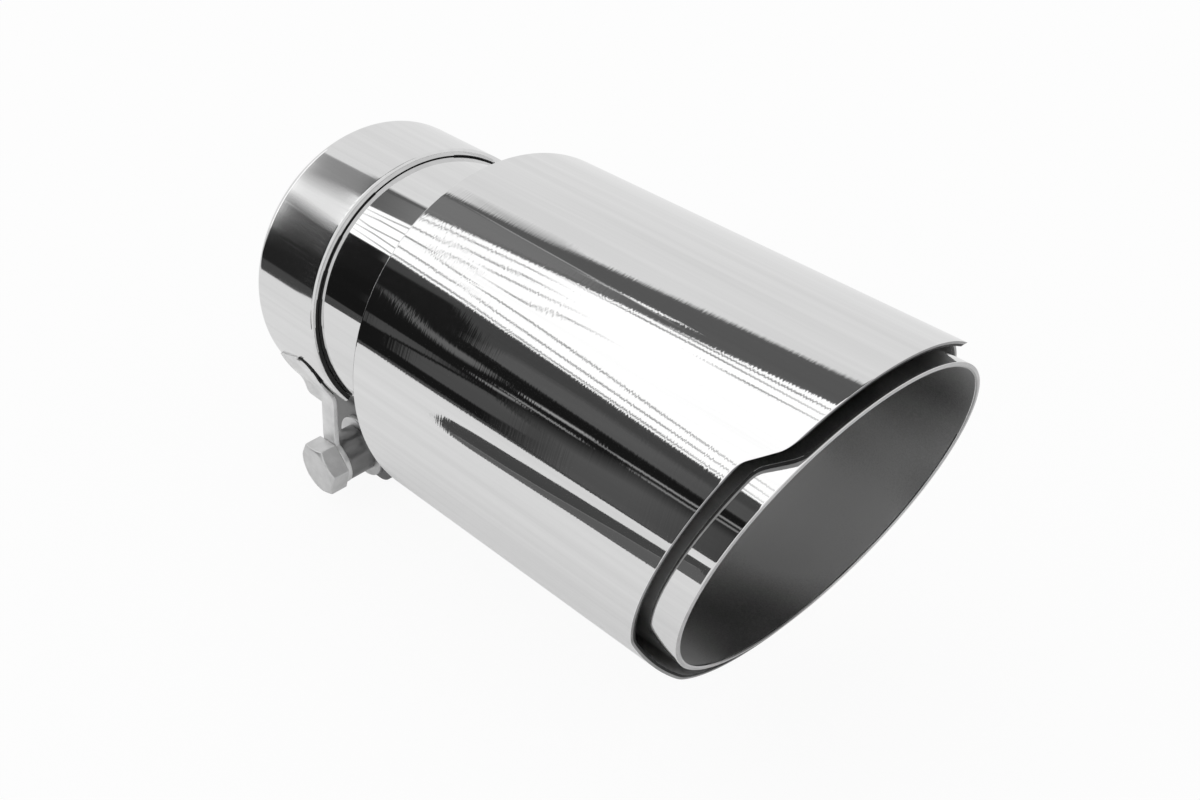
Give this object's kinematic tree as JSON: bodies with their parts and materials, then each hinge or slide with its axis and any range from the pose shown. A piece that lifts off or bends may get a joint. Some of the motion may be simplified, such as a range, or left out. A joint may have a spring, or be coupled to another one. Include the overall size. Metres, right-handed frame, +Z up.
{
  "type": "exhaust tip",
  "caption": "Polished double-wall exhaust tip with a slanted outlet, slipped over a tailpipe and held by a band clamp with a bolt.",
  "frame": {"origin": "centre of the inlet bore at the inlet tube's rear end, just inside the band's drawn-in rear edge", "axes": "+X along the pipe towards the outlet, +Z up with the long side of the slanted outlet on top, +Y across"},
  "size_m": [0.1767, 0.0888, 0.0956],
  "materials": {
    "inlet_steel": "polished stainless steel",
    "sleeve_steel": "mirror-polished stainless steel",
    "outlet_steel": "polished outside and rim, dull grey inside",
    "weld_steel": "brushed weld seam",
    "band_steel": "polished band, satin ears",
    "spacer_steel": "turned, satin",
    "fastener_steel": "satin"
  },
  "bodies": {
    "root": {"inlet_tube": "inlet_steel", "outer_sleeve": "sleeve_steel", "outlet_tube": "outlet_steel", "sleeve_weld": "weld_steel", "outlet_weld": "weld_steel", "clamp_band": "band_steel", "clamp_bolt": "fastener_steel", "clamp_spacer": "spacer_steel", "clamp_washer": "fastener_steel", "clamp_nut": "fastener_steel"}
  },
  "joints": []
}
